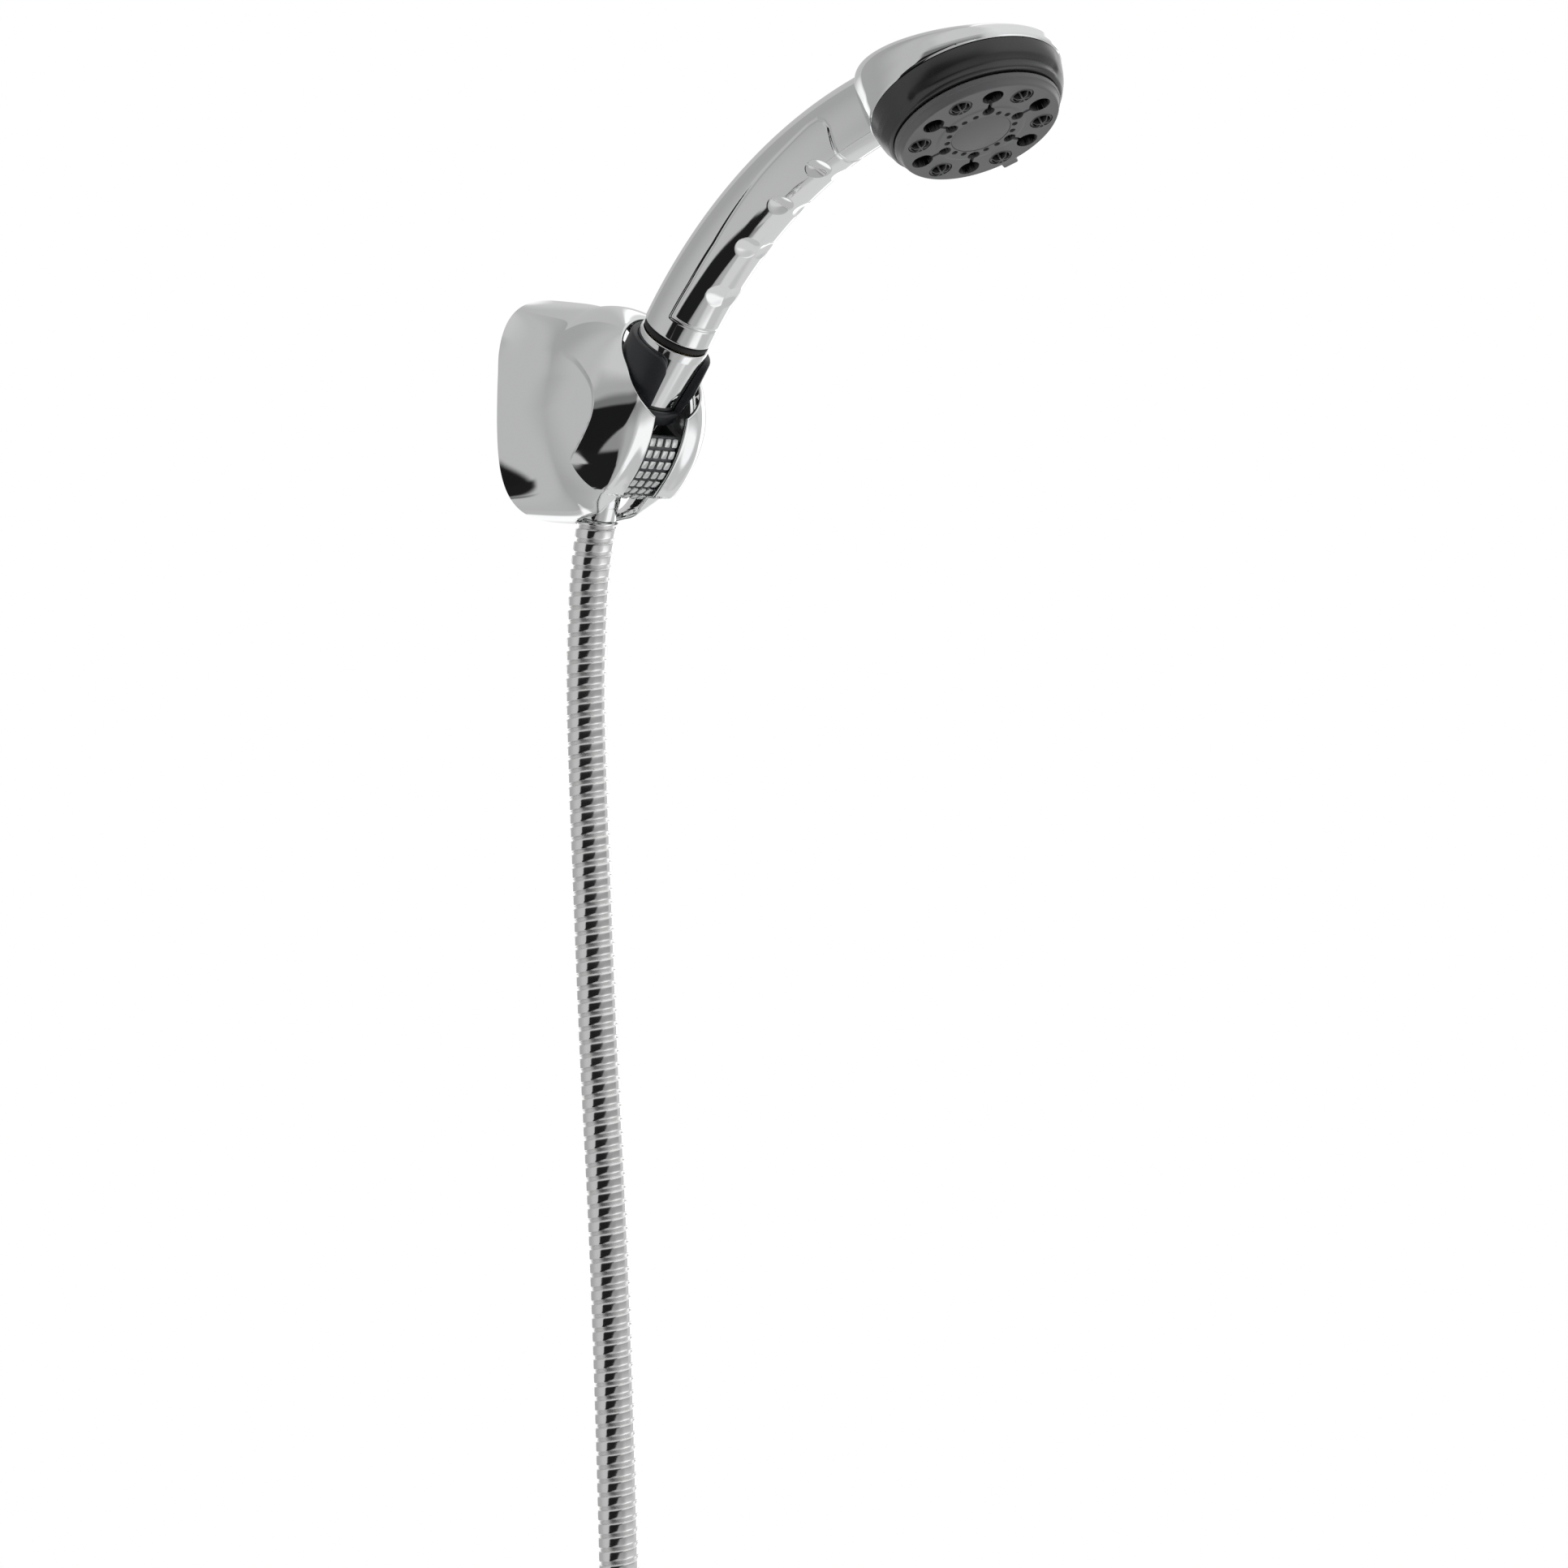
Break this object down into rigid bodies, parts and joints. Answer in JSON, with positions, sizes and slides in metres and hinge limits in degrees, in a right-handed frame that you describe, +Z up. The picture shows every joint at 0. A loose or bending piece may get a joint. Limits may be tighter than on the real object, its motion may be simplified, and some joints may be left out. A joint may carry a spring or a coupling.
{
  "type": "handheld shower head",
  "caption": "Chrome handheld shower head with a curved grip and a black multi-spray face, held by a tilting wall bracket, with a coiled metal hose.",
  "frame": {"origin": "middle of the bracket's back face, on the wall", "axes": "+Y into the wall, +Z up, the spray head reaches out along -Y"},
  "size_m": [0.1691, 0.2481, 0.7181],
  "materials": {
    "chrome_plate": "polished",
    "steel": "satin",
    "brass": "machined",
    "black_plastic": "satin",
    "bezel_plastic": "semi-gloss",
    "grey_plastic": "satin",
    "white_plastic": "natural",
    "rubber": "matte"
  },
  "bodies": {
    "bracket": {"bracket_cover": "chrome_plate", "mounting_plate": "steel", "wall_screw_upper": "steel", "wall_screw_lower": "steel", "cover_set_screw": "steel", "pivot_pin_left": "steel", "pivot_pin_right": "steel", "friction_washer_left": "white_plastic", "friction_washer_right": "white_plastic", "hose_sleeve": "chrome_plate", "hose_tube": "chrome_plate", "hose_coil": "chrome_plate", "hose_tie": "black_plastic", "supply_fitting": "chrome_plate"},
    "cradle": {"cradle_drum": "grey_plastic", "cradle_clip": "black_plastic", "hose_end_fitting": "brass"},
    "handset": {"hose_nut": "chrome_plate", "hose_washer": "rubber", "inlet_connector": "brass", "gasket_ring": "rubber", "check_valve_body": "white_plastic", "check_valve_spring": "steel", "flow_restrictor": "grey_plastic", "handset_body": "chrome_plate", "grip_panel": "chrome_plate", "water_tube": "white_plastic", "bezel_ring": "bezel_plastic", "engine_housing": "white_plastic", "diverter_disc": "white_plastic", "diverter_seal": "rubber", "face_screw": "steel", "detent_spring": "steel"},
    "spray_disc": {"spray_face": "grey_plastic", "centre_cap": "grey_plastic", "star_nozzle_1": "grey_plastic", "star_nozzle_2": "grey_plastic", "star_nozzle_3": "grey_plastic", "star_nozzle_4": "grey_plastic", "star_nozzle_5": "grey_plastic", "star_nozzle_6": "grey_plastic"},
    "turbine": {"massage_turbine": "white_plastic"},
    "plunger": {"detent_plunger": "steel"},
    "poppet": {"check_valve_poppet": "black_plastic"},
    "nut_of_supply_end": {"supply_nut": "chrome_plate", "supply_washer": "rubber"}
  },
  "joints": [
    {"name": "cradle_tilt", "type": "hinge", "parent": "bracket", "child": "cradle", "pos_m": [0, -0.022, -0.003], "axis": [1, 0, 0], "range_deg": [-1.5, 8]},
    {"name": "handset_swivel", "type": "hinge", "parent": "cradle", "child": "handset", "pos_m": [0, -0.05513, 0.02166], "axis": [0, -0.628, 0.7782], "range_deg": [-90, 90]},
    {"name": "face_turn", "type": "hinge", "parent": "handset", "child": "spray_disc", "pos_m": [0, -0.20098, 0.07231], "axis": [0, 0.4579, 0.889], "range_deg": [-45, 45]},
    {"name": "turbine_spin", "type": "hinge", "parent": "handset", "child": "turbine", "pos_m": [0, -0.20098, 0.07231], "axis": [0, 0.4579, 0.889], "continuous": true},
    {"name": "detent_press", "type": "slide", "parent": "handset", "child": "plunger", "axis": [0, 0.4579, 0.889], "range_m": [0, 0.0008], "stiffness_N_per_m": 300, "springref_m": -0.002},
    {"name": "check_valve_lift", "type": "slide", "parent": "handset", "child": "poppet", "axis": [0, -0.628, 0.7782], "range_m": [0, 0.0024], "stiffness_N_per_m": 150, "springref_m": -0.003},
    {"name": "supply_nut_turn", "type": "hinge", "parent": "bracket", "child": "nut_of_supply_end", "pos_m": [-0.074, -0.05715, -0.58009], "axis": [0, 0, 1], "continuous": true}
  ]
}
